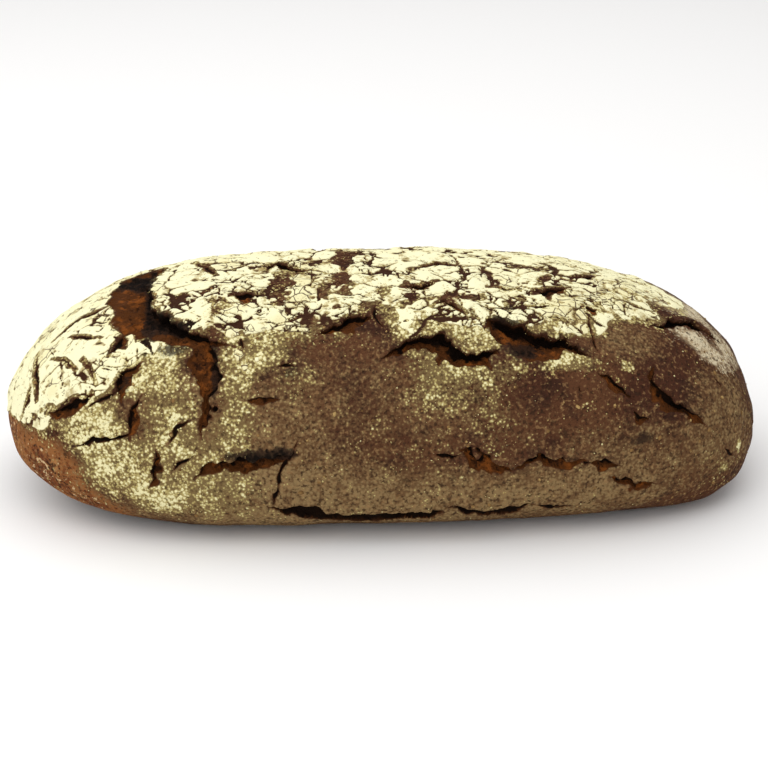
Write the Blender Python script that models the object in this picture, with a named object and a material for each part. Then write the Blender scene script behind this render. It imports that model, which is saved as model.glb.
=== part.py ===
# Farmhouse rye loaf: one solid with its tears, lips and lumps as relief.
# Metres and +Z up in the scene. The sizes below are millimetres, made metres at the end.
# The origin is under the middle of the loaf, on the flat it rests on.
# X runs along the loaf to its right tip, and -Y is its front.

import bpy
import numpy as np

# Driving sizes of the loaf
LENGTH = 360.0
WIDTH = 165.0
HEIGHT = 107.0
BELLY_HEIGHT = 36.0          # height of the widest line, half way along
TIP_HEIGHT = (40.0, 30.0)    # left tip, right tip
BASE_ROUNDING = 3.0          # how far the lower round runs on under the flat of the base

# How full each half is, as the two powers of a round: left half, right half
PLAN_ROUND = ((3.0, 2.35), (2.8, 3.3))
CROWN_ROUND = ((3.6, 1.56), (2.4, 2.3))
LIFT_START = (0.52, 0.79)    # share of each half length where the underside leaves the flat
DOME_POWER = 2.3             # fullness of a cross-section above its widest line
UNDER_POWER = 3.2            # and below it

# How finely the crust is measured out, and the triangles left after thinning
STATIONS = 280
RING = 340
TRIANGLES = 11600

# Tears with a lip on one side and a floor on the other.
# Places are (millimetres along from the middle, degrees round the girth), where
# 0 degrees is the front's widest line, 90 the top, 180 the back, and below 0 the underside.
# The floor lies to the right hand of someone who walks the places in order on the crust.
# name, places, floor width at start, middle and end, depth, height of the lip
TEARS = (
    ("scorched tear", ((-102, 104), (-108, 90), (-107, 76), (-101, 67), (-87, 60), (-80, 55), (-70, 51)),
     (24, 21, 4), 7.0, 1.6),
    ("scorched channel", ((-104, 70), (-98, 65), (-87, 60), (-80, 55), (-72, 52)), (14, 14, 3), 6.5, 1.2),
    ("tall tear", ((-80, 54), (-76, 42), (-75, 33), (-79, 25), (-84, 14)), (13, 11, 3), 6.5, 0.8),
    ("branch of the scorched tear", ((-126, 53), (-121, 61)), (2, 5, 4), 2.5, 0.3),
    ("left crest crack", ((-154, 80), (-146, 88), (-131, 85)), (1.5, 3, 2), 1.8, 0.4),
    ("left shoulder crack", ((-145, 72), (-132, 64)), (1, 2.5, 1), 1.4, 0.3),
    ("left end crack", ((-162, 38), (-164, 54), (-163, 77)), (1.5, 3, 1), 1.4, 0.3),
    ("left patch tear", ((-122, 29), (-124, 36), (-121, 42), (-112, 46)), (6, 10, 3), 3.5, 0.8),
    ("left low tear", ((-155, 26), (-149, 30), (-136, 34)), (3, 6, 4), 4.0, 0.8),
    ("left joining crack", ((-137, 28), (-132, 32), (-124, 34)), (1.5, 2.5, 2), 2.0, 0.3),
    ("left drop tear", ((-118, 14), (-118, 20), (-117, 25), (-113, 30)), (3, 5, 4), 3.5, 0.4),
    ("left branch crack", ((-142, 8), (-132, 14), (-124, 13), (-117, 16)), (1.5, 3, 2), 2.5, 0.5),
    ("left foot tear", ((-110, -3), (-107, 2), (-106, 9)), (3, 6, 2), 3.5, 0.5),
    ("left foot crack", ((-90, 6), (-100, 0)), (1.5, 2.5, 1), 2.0, 0.3),
    ("low front tear", ((-88, 1), (-83, 5), (-73, 7), (-64, 8), (-54, 8), (-43, 8)), (4, 8, 3), 6.0, 1.4),
    ("front drop crack", ((-40, 14), (-44, 6), (-49, 3), (-50, -2), (-52, -11)), (1.2, 2, 2), 1.8, 0.3),
    ("foot crevice", ((-53, -11), (-38, -13), (-21, -18), (-2, -19), (22, -17)), (5, 10, 8), 9.0, 0.3),
    ("right foot crevice", ((27, -14), (45, -16), (65, -16)), (4, 8, 4), 7.5, 0.3),
    ("right foot crack", ((68, -17), (83, -20)), (2, 3, 2), 3.0, 0.2),
    ("short front tear", ((-64, 28), (-57, 28), (-48, 28)), (2, 5, 1), 2.5, 0.5),
    ("short top tear", ((-69, 74), (-56, 74)), (4, 5, 2), 3.0, 0.8),
    ("crest crack", ((-54, 90), (-51, 95), (-41, 91), (-28, 87)), (3, 5, 2), 4.0, 1.2),
    ("left crest branch", ((-88, 101), (-82, 95), (-78, 89)), (1, 3, 1), 1.5, 0.4),
    ("middle top tear", ((-30, 54), (-24, 58), (-18, 62), (-12, 62), (-6, 61)), (4, 8, 4), 5.0, 1.2),
    ("long middle tear", ((-2, 44), (6, 48), (11, 52), (29, 52), (33, 48), (36, 45), (43, 45), (48, 46)),
     (4, 10, 12), 7.5, 1.8),
    ("deep right tear", ((50, 61), (60, 58), (73, 53), (84, 54), (93, 46)), (15, 14, 3), 9.0, 2.0),
    ("right seam", ((95, 66), (96, 55), (98, 46)), (1, 2, 1), 1.2, 0.3),
    ("right shoulder tear", ((126, 68), (130, 70), (138, 77), (146, 81), (154, 81), (162, 78)),
     (3, 8, 3), 5.5, 1.9),
    ("right slanting tear", ((124, 44), (124, 38), (126, 33), (132, 31), (138, 29), (147, 17)),
     (3, 9, 3), 5.0, 1.3),
    ("right short slant", ((95, 38), (103, 36), (112, 27)), (1.5, 5, 1.5), 3.0, 0.7),
    ("right short slant below", ((112, 23), (120, 19)), (1.5, 4, 1.5), 2.5, 0.5),
    ("first of the low row", ((20, 7), (32, 7)), (1.5, 3.5, 1), 2.4, 0.5),
    ("second of the low row", ((34, 9), (42, 7), (47, 5), (56, 1)), (5, 7, 3), 4.5, 0.9),
    ("third of the low row", ((57, 2), (61, 4), (65, 5), (68, 7), (74, 5), (88, 4)), (4, 6, 4), 4.0, 0.9),
    ("fourth of the low row", ((91, 3), (96, 4), (106, 1)), (4, 6, 3), 4.0, 0.9),
    ("fifth of the low row", ((103, -2), (123, -6)), (3, 6, 3), 4.0, 0.8),
    ("right crest crack", ((15, 88), (22, 91), (28, 92), (39, 90)), (2, 4, 2), 2.5, 0.8),
    ("top gap", ((10, 77), (24, 80)), (3, 6, 3), 2.0, 0.6),
    ("second top gap", ((23, 66), (28, 71), (36, 63)), (2, 5, 2), 2.0, 0.6),
    ("right top crack", ((93, 89), (104, 92)), (2, 3, 1), 2.0, 0.6),
    ("right top gap", ((72, 77), (86, 80)), (5, 5, 2), 2.5, 0.8),
    ("long back tear", ((96, 128), (72, 133), (40, 126), (8, 134), (-18, 130)), (3, 10, 3), 6.0, 1.5),
    ("left back tear", ((-60, 138), (-84, 131), (-112, 140), (-128, 136)), (3, 9, 3), 5.5, 1.4),
    ("steep back tear", ((-36, 112), (-30, 122), (-32, 134), (-26, 143)), (2, 8, 2), 5.0, 0.9),
    ("low back tear", ((76, 168), (52, 173), (24, 170), (2, 175)), (2, 6, 2), 4.5, 1.0),
    ("left low back tear", ((-50, 172), (-74, 168), (-96, 174)), (2, 5, 2), 4.0, 0.9),
    ("right low back tear", ((134, 160), (118, 166), (104, 162)), (2, 5, 2), 3.5, 0.9),
    ("right back crest tear", ((150, 108), (138, 116), (120, 112)), (2, 6, 2), 3.5, 1.0),
    ("back foot crevice", ((60, 199), (24, 202), (-16, 200), (-58, 198)), (2, 5, 2), 4.5, 0.7),
)

# Rises and hollows of the crust between the tears: middle place, reach along, reach round, height
SWELLS = (
    ((-14, 101), 16, 7, 1.6),
    ((158, 80), 8, 6, 0.6),
    ((-84, 72), 20, 12, 1.2),
    ((-100, 42), 18, 12, 1.0),
    ((22, 60), 24, 7, 1.4),
    ((70, 62), 20, 7, 1.2),
    ((-64, 12), 24, 6, 1.0),
    ((8, -14), 34, 5, 0.8),
    ((140, 42), 12, 10, -1.2),
    ((-44, 146), 22, 10, 1.2),
    ((26, 138), 28, 8, 1.2),
)

# Lumps all over: wave length in millimetres, height of each wave
LUMPS = ((70.0, 0.22), (34.0, 0.22), (16.0, 0.14))
WAVES = 9                    # waves summed at each length
SEED = 20

# How a tear is cut
WALL_RUN = 1.4               # run of the wall from the lip down to the floor
FAR_RUN = 2.0                # run of the small step where the floor meets the crust again
FLOOR_RISE = 0.72            # share of the depth that the floor regains by its far side
LIP_REACH = 5.0              # how far a lip's rise fades back over the crust
FAR_LIP = 0.35               # rise of the far edge, as a share of the lip's
END_FADE = 3.0               # how far past its ends a tear fades out
PATH_STEP = 0.8              # spacing of the places that a tear is measured from
EDGE_WAVER = ((17.0, 0.9), (8.0, 0.6), (4.5, 0.35))   # wave length and reach of its ragged edges
BASE_FADE = (1.0, 6.0)       # relief fades out between these heights, so the base stays flat
SNAP = 0.3                   # what ends up lower than this after thinning is put on the base

CRUST_COLOUR = (0.098, 0.043, 0.017)   # browned rye crust
CRUST_ROUGHNESS = 0.75


def clear_scene():
    for thing in list(bpy.data.objects):
        bpy.data.objects.remove(thing, do_unlink=True)


def round_ends(along, powers):
    """1 in the middle and 0 at the tips, with each half's own fullness."""
    left, right = powers
    inner = np.where(along < 0, left[0], right[0])
    outer = np.where(along < 0, left[1], right[1])
    return np.clip(1 - np.abs(along) ** inner, 0, 1) ** (1 / outer)


def section_sizes(along):
    """Half width, top, widest line and underside of the cross-section at a share of the half length."""
    tip = TIP_HEIGHT[0] + (TIP_HEIGHT[1] - TIP_HEIGHT[0]) * (along + 1) / 2
    half = WIDTH / 2 * round_ends(along, PLAN_ROUND)
    top = tip + (HEIGHT - tip) * round_ends(along, CROWN_ROUND)
    start = np.where(along < 0, LIFT_START[0], LIFT_START[1])
    beyond = np.clip((np.abs(along) - start) / (1 - start), 0, 1)
    under = tip * (1 - np.sqrt(1 - beyond ** 2))
    belly = tip + (BELLY_HEIGHT - tip) * round_ends(along, ((2.5, 1.5), (2.5, 1.5)))
    return half, top, np.clip(belly, under, top), under


def smooth_place(x, degrees):
    """The place on the smooth form at x along the loaf and a girth angle."""
    half, top, belly, under = section_sizes(np.clip(x / (LENGTH / 2), -1, 1))
    across, up = np.cos(np.radians(degrees)), np.sin(np.radians(degrees))
    power = np.where(up >= 0, DOME_POWER, UNDER_POWER)
    y = -half * np.sign(across) * np.abs(across) ** (2 / power)
    rise = np.abs(up) ** (2 / power)
    z = np.where(up >= 0, belly + (top - belly) * rise, belly - (belly - under + BASE_ROUNDING) * rise)
    return np.stack([x + 0 * y, y, np.maximum(z, under)], axis=-1)


def smooth_grid():
    """Rings of evenly spaced places at each station between the tips, and the two tips."""
    turn = np.linspace(-np.pi / 2, np.pi / 2, STATIONS + 2)[1:-1]
    fine = np.linspace(0, 360, 1441)
    rings = []
    for x in LENGTH / 2 * np.sin(turn):
        ring = smooth_place(np.full_like(fine, x), fine)
        run = np.concatenate([[0], np.cumsum(np.linalg.norm(np.diff(ring, axis=0), axis=1))])
        even = np.interp(np.arange(RING) / RING * run[-1], run, fine)
        rings.append(smooth_place(np.full_like(even, x), even))
    tips = [(-LENGTH / 2, 0, TIP_HEIGHT[0]), (LENGTH / 2, 0, TIP_HEIGHT[1])]
    return np.concatenate([np.concatenate(rings), tips])


def grid_faces():
    """Quads between neighbouring rings and a fan of triangles at each tip, all facing outward."""
    ring = np.arange(RING)
    onward = (ring + 1) % RING
    faces = []
    for station in range(STATIONS - 1):
        here, there = station * RING, (station + 1) * RING
        faces += zip(here + ring, there + ring, there + onward, here + onward)
    left_tip, right_tip = STATIONS * RING, STATIONS * RING + 1
    last = (STATIONS - 1) * RING
    faces += [(left_tip, i, j) for i, j in zip(ring, onward)]
    faces += [(right_tip, j, i) for i, j in zip(last + ring, last + onward)]
    return [tuple(int(corner) for corner in face) for face in faces]


def outward_normals(places):
    """Unit normals of the smooth form at the grid's places."""
    rings = places[:-2].reshape(STATIONS, RING, 3)
    along = np.gradient(rings, axis=0)
    around = np.roll(rings, -1, axis=1) - np.roll(rings, 1, axis=1)
    normal = np.cross(along, around).reshape(-1, 3)
    normal = np.concatenate([normal, [(-1, 0, 0), (1, 0, 0)]])
    return normal / np.linalg.norm(normal, axis=1, keepdims=True)


def smoothstep(low, high, value):
    share = np.clip((value - low) / (high - low), 0, 1)
    return share * share * (3 - 2 * share)


def waves(places, sizes, rng):
    """A gentle random field, from waves of each length and height in seeded directions."""
    total = np.zeros(len(places))
    for length, height in sizes:
        for _ in range(WAVES):
            direction = rng.normal(size=3)
            direction *= 2 * np.pi / length / np.linalg.norm(direction)
            total += height * np.sin(places @ direction + rng.uniform(0, 2 * np.pi)) / np.sqrt(WAVES / 2)
    return total


def swells(places):
    total = np.zeros(len(places))
    for (x, degrees), reach_along, reach_round, height in SWELLS:
        middle = smooth_place(np.array(float(x)), np.array(float(degrees)))
        edge = smooth_place(np.array(float(x)), np.array(float(degrees + reach_round)))
        across = np.linalg.norm(edge - middle)
        from_middle = places - middle
        along = from_middle[:, 0] / reach_along
        around = np.linalg.norm(from_middle[:, 1:], axis=1) / across
        total += height * np.exp(-(along ** 2 + around ** 2))
    return total


def rounded_corners(corners):
    """The tear's places with its corners cut twice, so that it bends smoothly."""
    for _ in range(2):
        near = 0.75 * corners[:-1] + 0.25 * corners[1:]
        far = 0.25 * corners[:-1] + 0.75 * corners[1:]
        between = np.stack([near, far], axis=1).reshape(-1, 2)
        corners = np.concatenate([corners[:1], between, corners[-1:]])
    return corners


def tear_path(corners):
    """Closely spaced places along a tear's lip, the run to each, and the way its floor lies."""
    corners = rounded_corners(np.array(corners, float))
    rough = smooth_place(corners[:, 0], corners[:, 1])
    run = np.concatenate([[0], np.cumsum(np.linalg.norm(np.diff(rough, axis=0), axis=1))])
    even = np.linspace(0, run[-1], max(8, int(run[-1] / PATH_STEP)))
    x, degrees = np.interp(even, run, corners[:, 0]), np.interp(even, run, corners[:, 1])
    path = smooth_place(x, degrees)
    ahead = np.gradient(path, axis=0)
    around = smooth_place(x, degrees + 0.5) - smooth_place(x, degrees - 0.5)
    along = smooth_place(x + 0.5, degrees) - smooth_place(x - 0.5, degrees)
    floor_way = np.cross(ahead, np.cross(along, around))
    return path, even, floor_way / np.linalg.norm(floor_way, axis=1, keepdims=True)


def nearest_on_path(places, path):
    """For each place, which step of the path is nearest and how far off it is."""
    closest = np.zeros(len(places), int)
    distance = np.full(len(places), np.inf)
    for step, place in enumerate(path):
        away = np.linalg.norm(places - place, axis=1)
        nearer = away < distance
        closest[nearer] = step
        distance[nearer] = away[nearer]
    return closest, distance


def tear_relief(places, tear, lip_waver, far_waver):
    """Height that one tear adds: below 0 on its floor, above 0 on its lip."""
    name, corners, widths, depth, lip = tear
    path, run, floor_way = tear_path(corners)
    reach = max(widths) + 2 * LIP_REACH
    near = np.all((places > path.min(axis=0) - reach) & (places < path.max(axis=0) + reach), axis=1)
    index = np.flatnonzero(near)
    closest, distance = nearest_on_path(places[index], path)
    share = run[closest] / run[-1]
    width = np.interp(share, (0, 0.5, 1), widths) * (1 - 0.6 * np.abs(2 * share - 1) ** 6)
    calm = np.clip(width / 6, 0.25, 1)
    side = np.sum((places[index] - path[closest]) * floor_way[closest], axis=1)
    beyond = np.sqrt(np.maximum(distance ** 2 - side ** 2, 0))
    side = side + lip_waver[index] * calm
    to_far = width - side + far_waver[index] * calm
    strength = (width / max(widths)) ** 0.6 * np.clip(1 - beyond / END_FADE, 0, 1)
    wall = smoothstep(0, WALL_RUN, side)
    far = smoothstep(0, np.minimum(FAR_RUN, width * 0.4), to_far)
    floor = depth * strength * wall * far * (1 - FLOOR_RISE * np.clip(side / width, 0, 1))
    lip_rise = np.where(side < 0, np.exp(np.minimum(side, 0) / LIP_REACH), 0)
    far_rise = np.where(to_far < 0, FAR_LIP * np.exp(np.minimum(to_far, 0) / LIP_REACH * 2), 0)
    height = np.zeros(len(places))
    height[index] = lip * strength * (lip_rise + far_rise) - floor
    return height


def crust_relief(places, rng):
    """All the relief over the smooth form, faded out towards the base."""
    height = waves(places, LUMPS, rng) + swells(places)
    lip_waver = waves(places, EDGE_WAVER, rng)
    far_waver = waves(places, EDGE_WAVER, rng)
    cut = np.zeros(len(places))
    lifted = np.zeros(len(places))
    for tear in TEARS:
        relief = tear_relief(places, tear, lip_waver, far_waver)
        cut = np.minimum(cut, relief)
        lifted = np.maximum(lifted, relief)
    height += cut + np.where(cut < 0, 0, lifted)
    return height * smoothstep(BASE_FADE[0], BASE_FADE[1], places[:, 2])


def thinned(mesh, share):
    """A copy of the mesh with that share of its triangles, kept where the crust bends most."""
    holder = bpy.data.objects.new("thinning", mesh)
    bpy.context.scene.collection.objects.link(holder)
    thin = holder.modifiers.new("thin", 'DECIMATE')
    thin.decimate_type = 'COLLAPSE'
    thin.use_collapse_triangulate = True
    thin.ratio = share
    graph = bpy.context.evaluated_depsgraph_get()
    result = bpy.data.meshes.new_from_object(holder.evaluated_get(graph))
    bpy.data.objects.remove(holder, do_unlink=True)
    bpy.data.meshes.remove(mesh)
    return result


def crust_material():
    material = bpy.data.materials.new("browned crust")
    material.use_nodes = True
    shader = material.node_tree.nodes["Principled BSDF"]
    shader.inputs["Base Color"].default_value = (*CRUST_COLOUR, 1)
    shader.inputs["Roughness"].default_value = CRUST_ROUGHNESS
    shader.inputs["Metallic"].default_value = 0
    return material


def make_loaf():
    rng = np.random.default_rng(SEED)
    places = smooth_grid()
    normals = outward_normals(places)
    places = places + normals * crust_relief(places, rng)[:, None]
    mesh = bpy.data.meshes.new("crust in full")
    mesh.from_pydata(places.tolist(), [], grid_faces())
    full = 2 * (STATIONS - 1) * RING + 2 * RING
    mesh = thinned(mesh, TRIANGLES / full)
    mesh.name = "loaf"
    corners = np.array([vertex.co[:] for vertex in mesh.vertices])
    corners[corners[:, 2] < SNAP, 2] = 0
    middle = (corners.min(axis=0) + corners.max(axis=0)) / 2
    corners[:, :2] -= middle[:2]
    mesh.vertices.foreach_set("co", (corners * 0.001).ravel())
    mesh.update()
    mesh.materials.append(crust_material())
    loaf = bpy.data.objects.new("loaf", mesh)
    bpy.context.scene.collection.objects.link(loaf)
    return loaf


clear_scene()
make_loaf()
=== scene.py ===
# Farmhouse rye loaf: the baked crust with its tears, the flour caked and cracked on it,
# and the loose flour grains and bran flakes that lie on it.
# The scene is in metres with +Z up. The crust is worked out in millimetres and made metres
# when its mesh is built. X runs along the loaf to its right tip, and -Y is its front.

import math
import bpy
import numpy as np
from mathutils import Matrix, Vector
from mathutils.kdtree import KDTree


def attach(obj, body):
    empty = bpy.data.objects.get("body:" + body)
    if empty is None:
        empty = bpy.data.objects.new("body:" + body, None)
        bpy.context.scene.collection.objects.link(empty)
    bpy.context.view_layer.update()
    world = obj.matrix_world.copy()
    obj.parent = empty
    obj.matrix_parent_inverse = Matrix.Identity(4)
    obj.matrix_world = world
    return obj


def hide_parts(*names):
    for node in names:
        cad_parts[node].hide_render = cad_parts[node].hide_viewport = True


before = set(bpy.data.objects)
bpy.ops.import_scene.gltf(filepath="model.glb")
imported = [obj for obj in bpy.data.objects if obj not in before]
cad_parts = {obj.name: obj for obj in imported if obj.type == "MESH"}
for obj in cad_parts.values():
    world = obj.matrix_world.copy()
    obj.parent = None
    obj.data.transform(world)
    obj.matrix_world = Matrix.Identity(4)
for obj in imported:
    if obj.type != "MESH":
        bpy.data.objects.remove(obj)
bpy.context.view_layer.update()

# Form of the loaf, as in the solid, in millimetres
LENGTH = 360.0
WIDTH = 165.0
HEIGHT = 107.0
BELLY_HEIGHT = 36.0          # height of the widest line, half way along
TIP_HEIGHT = (40.0, 30.0)    # left tip, right tip
BASE_ROUNDING = 3.0          # how far the lower round runs on under the flat of the base
PLAN_ROUND = ((3.0, 2.35), (2.8, 3.3))
CROWN_ROUND = ((3.6, 1.56), (2.4, 2.3))
LIFT_START = (0.52, 0.79)    # share of each half length where the underside leaves the flat
DOME_POWER = 2.3             # fullness of a cross-section above its widest line
UNDER_POWER = 3.2            # and below it

# How finely the crust is measured out, and the triangles that its pieces are thinned to
STATIONS = 640
RING = 800
EVENING = 0.3                # makes the stations' spacing more even than a plain round end's
UNDERSIDE_SHARE = 0.3        # spacing on the flat underside is this much closer to none
CRUST_TRIANGLES = 194000
FLOUR_TRIANGLES = 180000

# Tears with a lip on one side and a floor on the other.
# Places are (millimetres along from the middle, degrees round the girth), where
# 0 degrees is the front's widest line, 90 the top, 180 the back, and below 0 the underside.
# The floor lies to the right hand of someone who walks the places in order on the crust.
# Places, floor width at start, middle and end, depth, height of the lip.
TEARS = (
    # scorched, at the left
    (((-102, 104), (-108, 90), (-107, 76), (-101, 67), (-87, 60), (-80, 55), (-70, 51)),
     (24, 21, 4), 7.0, 1.6),
    (((-104, 70), (-98, 65), (-87, 60), (-80, 55), (-72, 52)), (14, 14, 3), 6.5, 1.2),
    (((-80, 54), (-76, 42), (-75, 33), (-79, 25), (-84, 14)), (13, 11, 3), 6.5, 0.8),
    # left end
    (((-126, 53), (-121, 61)), (2, 5, 4), 2.5, 0.3),
    (((-154, 80), (-146, 88), (-131, 85)), (1.5, 3, 2), 1.8, 0.4),
    (((-145, 72), (-132, 64)), (1, 2.5, 1), 1.4, 0.3),
    (((-162, 38), (-164, 54), (-163, 77)), (1.5, 3, 1), 1.4, 0.3),
    (((-122, 29), (-124, 36), (-121, 42), (-112, 46)), (6, 10, 3), 3.5, 0.8),
    (((-155, 26), (-149, 30), (-136, 34)), (3, 6, 4), 4.0, 0.8),
    (((-137, 28), (-132, 32), (-124, 34)), (1.5, 2.5, 2), 2.0, 0.3),
    (((-118, 14), (-118, 20), (-117, 25), (-113, 30)), (3, 5, 4), 3.5, 0.4),
    (((-142, 8), (-132, 14), (-124, 13), (-117, 16)), (1.5, 3, 2), 2.5, 0.5),
    # foot of the front
    (((-110, -3), (-107, 2), (-106, 9)), (3, 6, 2), 3.5, 0.5),
    (((-90, 6), (-100, 0)), (1.5, 2.5, 1), 2.0, 0.3),
    (((-88, 1), (-83, 5), (-73, 7), (-64, 8), (-54, 8), (-43, 8)), (4, 8, 3), 6.0, 1.4),
    (((-40, 14), (-44, 6), (-49, 3), (-50, -2), (-52, -11)), (1.2, 2, 2), 1.8, 0.3),
    (((-53, -11), (-38, -13), (-21, -18), (-2, -19), (22, -17)), (5, 10, 8), 9.0, 0.3),
    (((27, -14), (45, -16), (65, -16)), (4, 8, 4), 7.5, 0.3),
    (((68, -17), (83, -20)), (2, 3, 2), 3.0, 0.2),
    # front and top, left of the middle
    (((-64, 28), (-57, 28), (-48, 28)), (2, 5, 1), 2.5, 0.5),
    (((-69, 74), (-56, 74)), (4, 5, 2), 3.0, 0.8),
    (((-54, 90), (-51, 95), (-41, 91), (-28, 87)), (3, 5, 2), 4.0, 1.2),
    (((-88, 101), (-82, 95), (-78, 89)), (1, 3, 1), 1.5, 0.4),
    # front and top, right of the middle
    (((-30, 54), (-24, 58), (-18, 62), (-12, 62), (-6, 61)), (4, 8, 4), 5.0, 1.2),
    (((-2, 44), (6, 48), (11, 52), (29, 52), (33, 48), (36, 45), (43, 45), (48, 46)),
     (4, 10, 12), 7.5, 1.8),
    (((50, 61), (60, 58), (73, 53), (84, 54), (93, 46)), (15, 14, 3), 9.0, 2.0),
    (((95, 66), (96, 55), (98, 46)), (1, 2, 1), 1.2, 0.3),
    (((126, 68), (130, 70), (138, 77), (146, 81), (154, 81), (162, 78)),
     (3, 8, 3), 5.5, 1.9),
    (((124, 44), (124, 38), (126, 33), (132, 31), (138, 29), (147, 17)),
     (3, 9, 3), 5.0, 1.3),
    (((95, 38), (103, 36), (112, 27)), (1.5, 5, 1.5), 3.0, 0.7),
    (((112, 23), (120, 19)), (1.5, 4, 1.5), 2.5, 0.5),
    # low row at the front's right
    (((20, 7), (32, 7)), (1.5, 3.5, 1), 2.4, 0.5),
    (((34, 9), (42, 7), (47, 5), (56, 1)), (5, 7, 3), 4.5, 0.9),
    (((57, 2), (61, 4), (65, 5), (68, 7), (74, 5), (88, 4)), (4, 6, 4), 4.0, 0.9),
    (((91, 3), (96, 4), (106, 1)), (4, 6, 3), 4.0, 0.9),
    (((103, -2), (123, -6)), (3, 6, 3), 4.0, 0.8),
    # top, right of the middle
    (((15, 88), (22, 91), (28, 92), (39, 90)), (2, 4, 2), 2.5, 0.8),
    (((10, 77), (24, 80)), (3, 6, 3), 2.0, 0.6),
    (((23, 66), (28, 71), (36, 63)), (2, 5, 2), 2.0, 0.6),
    (((93, 89), (104, 92)), (2, 3, 1), 2.0, 0.6),
    (((72, 77), (86, 80)), (5, 5, 2), 2.5, 0.8),
    # back
    (((96, 128), (72, 133), (40, 126), (8, 134), (-18, 130)), (3, 10, 3), 6.0, 1.5),
    (((-60, 138), (-84, 131), (-112, 140), (-128, 136)), (3, 9, 3), 5.5, 1.4),
    (((-36, 112), (-30, 122), (-32, 134), (-26, 143)), (2, 8, 2), 5.0, 0.9),
    (((76, 168), (52, 173), (24, 170), (2, 175)), (2, 6, 2), 4.5, 1.0),
    (((-50, 172), (-74, 168), (-96, 174)), (2, 5, 2), 4.0, 0.9),
    (((134, 160), (118, 166), (104, 162)), (2, 5, 2), 3.5, 0.9),
    (((150, 108), (138, 116), (120, 112)), (2, 6, 2), 3.5, 1.0),
    (((60, 199), (24, 202), (-16, 200), (-58, 198)), (2, 5, 2), 4.5, 0.7),
)

# Thin cracks too fine for the solid, in the same order
FINE_CRACKS = (
    # left of the middle
    (((-88, 100), (-80, 98), (-75, 98)), (1, 1.6, 1), 1.2, 0.2),
    (((-69, 92), (-64, 94)), (0.8, 1.4, 0.8), 1.0, 0.2),
    (((-154, 62), (-148, 58), (-143, 50)), (0.8, 1.6, 0.8), 1.1, 0.2),
    (((-138, 52), (-134, 46), (-133, 40)), (0.8, 1.6, 0.8), 1.1, 0.2),
    (((-168, 30), (-166, 44)), (0.8, 1.8, 0.8), 1.1, 0.2),
    (((-66, 54), (-64, 49)), (1, 2.4, 1), 1.4, 0.2),
    # middle and right
    (((-4, 67), (-4, 60), (0, 55)), (1, 2.4, 1), 1.4, 0.2),
    (((-89, 20), (-96, 16), (-100, 10)), (1, 3, 1), 1.2, 0.1),
    (((-36, -12), (-28, -6)), (0.8, 1.3, 0.8), 0.8, 0.1),
    (((-50, 40), (-46, 42), (-42, 41)), (1, 2.4, 1), 1.2, 0.2),
    (((87, 33), (89, 29)), (0.8, 2, 0.8), 1.2, 0.2),
    (((154, 46), (158, 39)), (0.8, 2.2, 0.8), 1.4, 0.2),
    (((158, 2), (164, -2)), (0.8, 2.2, 0.8), 1.4, 0.2),
    (((106, 80), (115, 80), (126, 76)), (0.8, 2.4, 0.8), 1.2, 0.3),
    (((66, 66), (74, 69), (78, 68)), (0.8, 2.4, 0.8), 1.4, 0.3),
    (((94, 70), (100, 70)), (3, 4, 2), 1.4, 0.2),
    (((51, 77), (62, 76)), (0.8, 2.2, 0.8), 1.4, 0.3),
    (((88, 3), (92, 3)), (0.8, 2, 0.8), 1.0, 0.2),
    # back
    (((20, 112), (8, 116), (-6, 110)), (1, 2.5, 1), 1.6, 0.4),
    (((-80, 116), (-92, 121), (-98, 114)), (1, 2.5, 1), 1.6, 0.4),
    (((112, 140), (98, 146), (90, 142)), (1, 2.5, 1), 1.6, 0.4),
)

# Rises and hollows of the crust between the tears: middle place, reach along, reach round, height
SWELLS = (
    ((-14, 101), 16, 7, 1.6),
    ((158, 80), 8, 6, 0.6),
    ((-84, 72), 20, 12, 1.2),
    ((-100, 42), 18, 12, 1.0),
    ((22, 60), 24, 7, 1.4),
    ((70, 62), 20, 7, 1.2),
    ((-64, 12), 24, 6, 1.0),
    ((8, -14), 34, 5, 0.8),
    ((140, 42), 12, 10, -1.2),
    ((-44, 146), 22, 10, 1.2),
    ((26, 138), 28, 8, 1.2),
)

# Lumps all over: wave length in millimetres, height of each wave
LUMPS = ((70.0, 0.22), (34.0, 0.22), (16.0, 0.14))
WAVES = 9                    # waves summed at each length
SEED = 20

# How a tear is cut, as in the solid, in millimetres
PATH_STEP = 0.8              # from one place on its lip to the next
WALL_RUN = 1.4               # the wall under the lip drops over this width
FAR_RUN = 2.0                # and the far wall over this one
WALL_SHARE = 0.4             # but no more than this share of the depth or width
FLOOR_RISE = 0.72            # share of the depth that the floor has risen by at the far wall
LIP_REACH = 5.0              # how far back from the tear its lip is raised
FAR_LIP = 0.35               # height of the far side's lip, as a share of the lip's
END_FADE = 3.0               # how far past its ends a tear runs out
END_NARROWING = (0.6, 6)     # share of the width lost at the ends, and how suddenly
EDGE_WAVER = ((17.0, 0.9), (8.0, 0.6), (4.5, 0.35))   # wave length and height along both edges
CALM_WIDTH = 6.0             # narrower tears than this waver less
LEAST_WAVER = 0.25           # down to this share
BASE_FADE = (1.0, 6.0)       # relief fades out between these heights, so the base stays flat

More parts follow.
